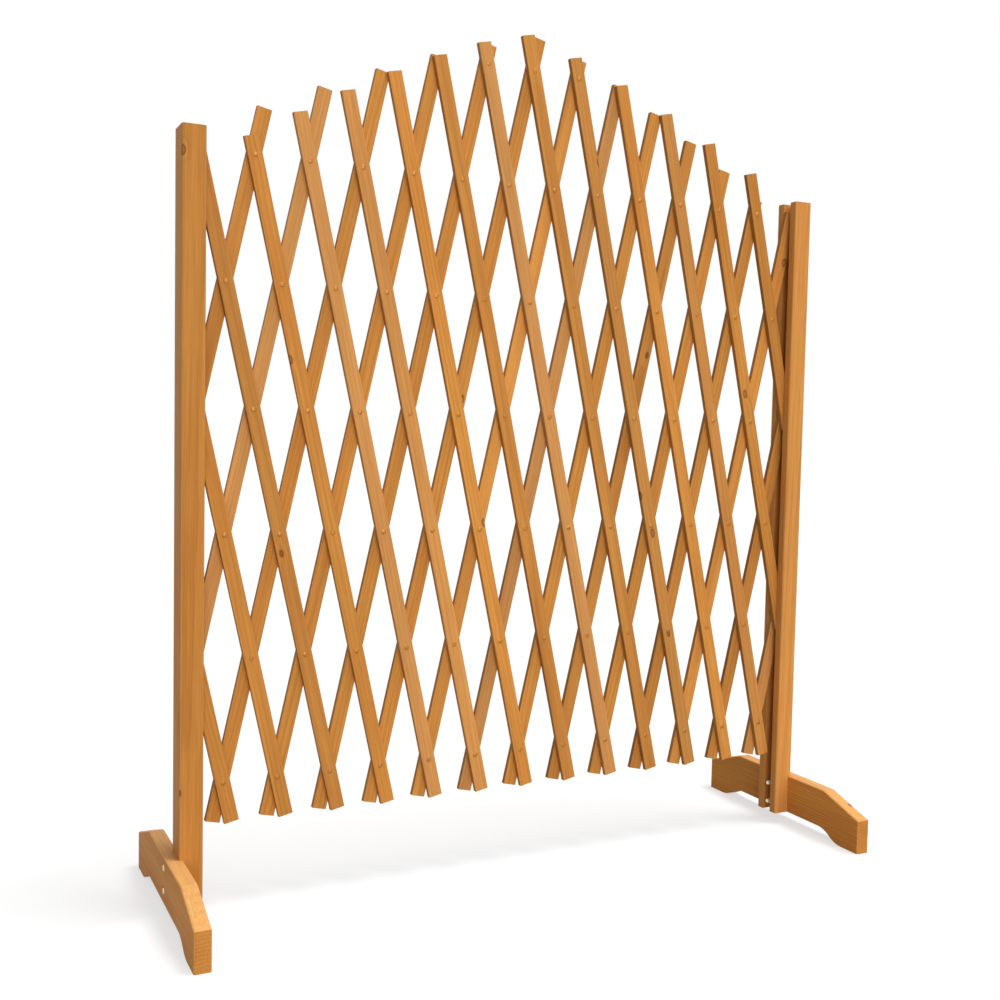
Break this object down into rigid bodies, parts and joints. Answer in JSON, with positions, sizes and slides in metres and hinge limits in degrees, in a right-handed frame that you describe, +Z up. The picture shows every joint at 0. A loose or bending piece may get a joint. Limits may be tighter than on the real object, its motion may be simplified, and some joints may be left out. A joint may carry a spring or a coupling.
{
  "type": "expanding trellis panel",
  "caption": "Free-standing expanding lattice panel for climbing plants: riveted wooden slats that open like scissors between grooved posts on arched feet.",
  "frame": {"origin": "on the floor in the middle of the panel, between the posts and midway between the feet's front and back ends", "axes": "+Z up, +X along the panel from the left post to the right post as seen from the front, +Y from the front to the back"},
  "size_m": [0.906, 0.33, 1.0565],
  "materials": {
    "post_wood": "satin orange-brown stain on planed softwood",
    "slat_wood": "satin orange-brown stain on planed softwood",
    "foot_wood": "satin orange-brown stain on planed softwood",
    "rivet_brass": "dulled",
    "zinc_steel": "zinc plated"
  },
  "bodies": {
    "left_post": {"left_post": "post_wood", "left_foot": "foot_wood", "left_foot_bolts": "zinc_steel", "left_foot_nuts": "zinc_steel", "left_foot_washers": "zinc_steel", "left_pivot_pin": "zinc_steel"},
    "right_post": {"right_post": "post_wood", "right_foot": "foot_wood", "right_foot_bolts": "zinc_steel", "right_foot_nuts": "zinc_steel", "right_foot_washers": "zinc_steel", "right_pivot_pin": "zinc_steel"},
    "front_slat_01": {"front_slat_01": "slat_wood", "rivets_01": "rivet_brass"},
    "front_slat_02": {"front_slat_02": "slat_wood", "rivets_02": "rivet_brass"},
    "front_slat_03": {"front_slat_03": "slat_wood", "rivets_03": "rivet_brass"},
    "front_slat_04": {"front_slat_04": "slat_wood", "rivets_04": "rivet_brass"},
    "front_slat_05": {"front_slat_05": "slat_wood", "rivets_05": "rivet_brass"},
    "front_slat_06": {"front_slat_06": "slat_wood", "rivets_06": "rivet_brass"},
    "front_slat_07": {"front_slat_07": "slat_wood", "rivets_07": "rivet_brass"},
    "front_slat_08": {"front_slat_08": "slat_wood", "rivets_08": "rivet_brass"},
    "front_slat_09": {"front_slat_09": "slat_wood", "rivets_09": "rivet_brass"},
    "front_slat_10": {"front_slat_10": "slat_wood", "rivets_10": "rivet_brass"},
    "front_slat_11": {"front_slat_11": "slat_wood", "rivets_11": "rivet_brass"},
    "front_slat_12": {"front_slat_12": "slat_wood", "rivets_12": "rivet_brass"},
    "front_slat_13": {"front_slat_13": "slat_wood", "rivets_13": "rivet_brass"},
    "front_slat_14": {"front_slat_14": "slat_wood", "rivets_14": "rivet_brass"},
    "front_slat_15": {"front_slat_15": "slat_wood", "rivets_15": "rivet_brass"},
    "back_slat_01": {"back_slat_01": "slat_wood"},
    "back_slat_02": {"back_slat_02": "slat_wood"},
    "back_slat_03": {"back_slat_03": "slat_wood"},
    "back_slat_04": {"back_slat_04": "slat_wood"},
    "back_slat_05": {"back_slat_05": "slat_wood"},
    "back_slat_06": {"back_slat_06": "slat_wood"},
    "back_slat_07": {"back_slat_07": "slat_wood"},
    "back_slat_08": {"back_slat_08": "slat_wood"},
    "back_slat_09": {"back_slat_09": "slat_wood"},
    "back_slat_10": {"back_slat_10": "slat_wood"},
    "back_slat_11": {"back_slat_11": "slat_wood"},
    "back_slat_12": {"back_slat_12": "slat_wood"},
    "back_slat_13": {"back_slat_13": "slat_wood"},
    "back_slat_14": {"back_slat_14": "slat_wood"},
    "back_slat_15": {"back_slat_15": "slat_wood"}
  },
  "joints": [
    {"name": "open_panel", "type": "hinge", "parent": "left_post", "child": "back_slat_02", "pos_m": [-0.41829, 0, 0.29195], "axis": [0, 1, 0], "range_deg": [-8.1, 15.4]},
    {"name": "front_01_on_left_post", "type": "hinge", "parent": "left_post", "child": "front_slat_01", "pos_m": [-0.41829, 0, 0.29195], "axis": [0, 1, 0], "range_deg": [-15.45, 8.15]},
    {"name": "front_03_on_back_02", "type": "hinge", "parent": "back_slat_02", "child": "front_slat_03", "pos_m": [-0.35394, 0, 0.57984], "axis": [0, 1, 0], "range_deg": [-30.85, 16.25]},
    {"name": "front_04_on_back_02", "type": "hinge", "parent": "back_slat_02", "child": "front_slat_04", "pos_m": [-0.32176, 0, 0.72379], "axis": [0, 1, 0], "range_deg": [-30.85, 16.25]},
    {"name": "front_02_on_back_02", "type": "hinge", "parent": "back_slat_02", "child": "front_slat_02", "pos_m": [-0.38611, 0, 0.43589], "axis": [0, 1, 0], "range_deg": [-30.85, 16.25]},
    {"name": "front_05_on_back_02", "type": "hinge", "parent": "back_slat_02", "child": "front_slat_05", "pos_m": [-0.28958, 0, 0.86774], "axis": [0, 1, 0], "range_deg": [-30.85, 16.25]},
    {"name": "back_03_on_front_01", "type": "hinge", "parent": "front_slat_01", "child": "back_slat_03", "pos_m": [-0.38611, 0, 0.148], "axis": [0, 1, 0], "range_deg": [-16.25, 30.85]},
    {"name": "back_01_on_front_03", "type": "hinge", "parent": "front_slat_03", "child": "back_slat_01", "pos_m": [-0.38611, 0, 0.72379], "axis": [0, 1, 0], "range_deg": [-16.25, 30.85]},
    {"name": "back_04_on_front_03", "type": "hinge", "parent": "front_slat_03", "child": "back_slat_04", "pos_m": [-0.28958, 0, 0.29195], "axis": [0, 1, 0], "range_deg": [-16.25, 30.85]},
    {"name": "back_05_on_front_03", "type": "hinge", "parent": "front_slat_03", "child": "back_slat_05", "pos_m": [-0.25741, 0, 0.148], "axis": [0, 1, 0], "range_deg": [-16.25, 30.85]},
    {"name": "back_06_on_front_04", "type": "hinge", "parent": "front_slat_04", "child": "back_slat_06", "pos_m": [-0.19306, 0, 0.148], "axis": [0, 1, 0], "range_deg": [-16.25, 30.85]},
    {"name": "back_07_on_front_05", "type": "hinge", "parent": "front_slat_05", "child": "back_slat_07", "pos_m": [-0.12871, 0, 0.148], "axis": [0, 1, 0], "range_deg": [-16.25, 30.85]},
    {"name": "front_06_on_back_03", "type": "hinge", "parent": "back_slat_03", "child": "front_slat_06", "pos_m": [-0.22523, 0, 0.86774], "axis": [0, 1, 0], "range_deg": [-30.85, 16.25]},
    {"name": "front_07_on_back_04", "type": "hinge", "parent": "back_slat_04", "child": "front_slat_07", "pos_m": [-0.16088, 0, 0.86774], "axis": [0, 1, 0], "range_deg": [-30.85, 16.25]},
    {"name": "front_08_on_back_05", "type": "hinge", "parent": "back_slat_05", "child": "front_slat_08", "pos_m": [-0.09653, 0, 0.86774], "axis": [0, 1, 0], "range_deg": [-30.85, 16.25]},
    {"name": "front_09_on_back_05", "type": "hinge", "parent": "back_slat_05", "child": "front_slat_09", "pos_m": [-0.06435, 0, 1.01169], "axis": [0, 1, 0], "range_deg": [-30.85, 16.25]},
    {"name": "front_10_on_back_06", "type": "hinge", "parent": "back_slat_06", "child": "front_slat_10", "pos_m": [0, 0, 1.01169], "axis": [0, 1, 0], "range_deg": [-30.85, 16.25]},
    {"name": "front_11_on_back_07", "type": "hinge", "parent": "back_slat_07", "child": "front_slat_11", "pos_m": [0.06435, 0, 1.01169], "axis": [0, 1, 0], "range_deg": [-30.85, 16.25]},
    {"name": "back_08_on_front_06", "type": "hinge", "parent": "front_slat_06", "child": "back_slat_08", "pos_m": [-0.06435, 0, 0.148], "axis": [0, 1, 0], "range_deg": [-16.25, 30.85]},
    {"name": "back_09_on_front_07", "type": "hinge", "parent": "front_slat_07", "child": "back_slat_09", "pos_m": [0, 0, 0.148], "axis": [0, 1, 0], "range_deg": [-16.25, 30.85]},
    {"name": "back_10_on_front_08", "type": "hinge", "parent": "front_slat_08", "child": "back_slat_10", "pos_m": [0.06435, 0, 0.148], "axis": [0, 1, 0], "range_deg": [-16.25, 30.85]},
    {"name": "back_11_on_front_09", "type": "hinge", "parent": "front_slat_09", "child": "back_slat_11", "pos_m": [0.12871, 0, 0.148], "axis": [0, 1, 0], "range_deg": [-16.25, 30.85]},
    {"name": "back_12_on_front_10", "type": "hinge", "parent": "front_slat_10", "child": "back_slat_12", "pos_m": [0.19306, 0, 0.148], "axis": [0, 1, 0], "range_deg": [-16.25, 30.85]},
    {"name": "back_13_on_front_11", "type": "hinge", "parent": "front_slat_11", "child": "back_slat_13", "pos_m": [0.25741, 0, 0.148], "axis": [0, 1, 0], "range_deg": [-16.25, 30.85]},
    {"name": "front_12_on_back_09", "type": "hinge", "parent": "back_slat_09", "child": "front_slat_12", "pos_m": [0.16088, 0, 0.86774], "axis": [0, 1, 0], "range_deg": [-30.85, 16.25]},
    {"name": "front_13_on_back_10", "type": "hinge", "parent": "back_slat_10", "child": "front_slat_13", "pos_m": [0.22523, 0, 0.86774], "axis": [0, 1, 0], "range_deg": [-30.85, 16.25]},
    {"name": "front_14_on_back_11", "type": "hinge", "parent": "back_slat_11", "child": "front_slat_14", "pos_m": [0.28958, 0, 0.86774], "axis": [0, 1, 0], "range_deg": [-30.85, 16.25]},
    {"name": "front_15_on_back_12", "type": "hinge", "parent": "back_slat_12", "child": "front_slat_15", "pos_m": [0.35394, 0, 0.86774], "axis": [0, 1, 0], "range_deg": [-30.85, 16.25]},
    {"name": "back_14_on_front_12", "type": "hinge", "parent": "front_slat_12", "child": "back_slat_14", "pos_m": [0.32176, 0, 0.148], "axis": [0, 1, 0], "range_deg": [-16.25, 30.85]},
    {"name": "back_15_on_front_13", "type": "hinge", "parent": "front_slat_13", "child": "back_slat_15", "pos_m": [0.38611, 0, 0.148], "axis": [0, 1, 0], "range_deg": [-16.25, 30.85]},
    {"name": "right_post_on_front_14", "type": "hinge", "parent": "front_slat_14", "child": "right_post", "pos_m": [0.41829, 0, 0.29195], "axis": [0, 1, 0], "range_deg": [-8.15, 15.45]}
  ],
  "couplings": [
    {"joint": "front_01_on_left_post", "follows": "open_panel", "ratio": -1},
    {"joint": "front_03_on_back_02", "follows": "open_panel", "ratio": -2},
    {"joint": "front_04_on_back_02", "follows": "open_panel", "ratio": -2},
    {"joint": "front_02_on_back_02", "follows": "open_panel", "ratio": -2},
    {"joint": "front_05_on_back_02", "follows": "open_panel", "ratio": -2},
    {"joint": "back_03_on_front_01", "follows": "open_panel", "ratio": 2},
    {"joint": "back_01_on_front_03", "follows": "open_panel", "ratio": 2},
    {"joint": "back_04_on_front_03", "follows": "open_panel", "ratio": 2},
    {"joint": "back_05_on_front_03", "follows": "open_panel", "ratio": 2},
    {"joint": "back_06_on_front_04", "follows": "open_panel", "ratio": 2},
    {"joint": "back_07_on_front_05", "follows": "open_panel", "ratio": 2},
    {"joint": "front_06_on_back_03", "follows": "open_panel", "ratio": -2},
    {"joint": "front_07_on_back_04", "follows": "open_panel", "ratio": -2},
    {"joint": "front_08_on_back_05", "follows": "open_panel", "ratio": -2},
    {"joint": "front_09_on_back_05", "follows": "open_panel", "ratio": -2},
    {"joint": "front_10_on_back_06", "follows": "open_panel", "ratio": -2},
    {"joint": "front_11_on_back_07", "follows": "open_panel", "ratio": -2},
    {"joint": "back_08_on_front_06", "follows": "open_panel", "ratio": 2},
    {"joint": "back_09_on_front_07", "follows": "open_panel", "ratio": 2},
    {"joint": "back_10_on_front_08", "follows": "open_panel", "ratio": 2},
    {"joint": "back_11_on_front_09", "follows": "open_panel", "ratio": 2},
    {"joint": "back_12_on_front_10", "follows": "open_panel", "ratio": 2},
    {"joint": "back_13_on_front_11", "follows": "open_panel", "ratio": 2},
    {"joint": "front_12_on_back_09", "follows": "open_panel", "ratio": -2},
    {"joint": "front_13_on_back_10", "follows": "open_panel", "ratio": -2},
    {"joint": "front_14_on_back_11", "follows": "open_panel", "ratio": -2},
    {"joint": "front_15_on_back_12", "follows": "open_panel", "ratio": -2},
    {"joint": "back_14_on_front_12", "follows": "open_panel", "ratio": 2},
    {"joint": "back_15_on_front_13", "follows": "open_panel", "ratio": 2},
    {"joint": "right_post_on_front_14", "follows": "open_panel", "ratio": 1}
  ]
}
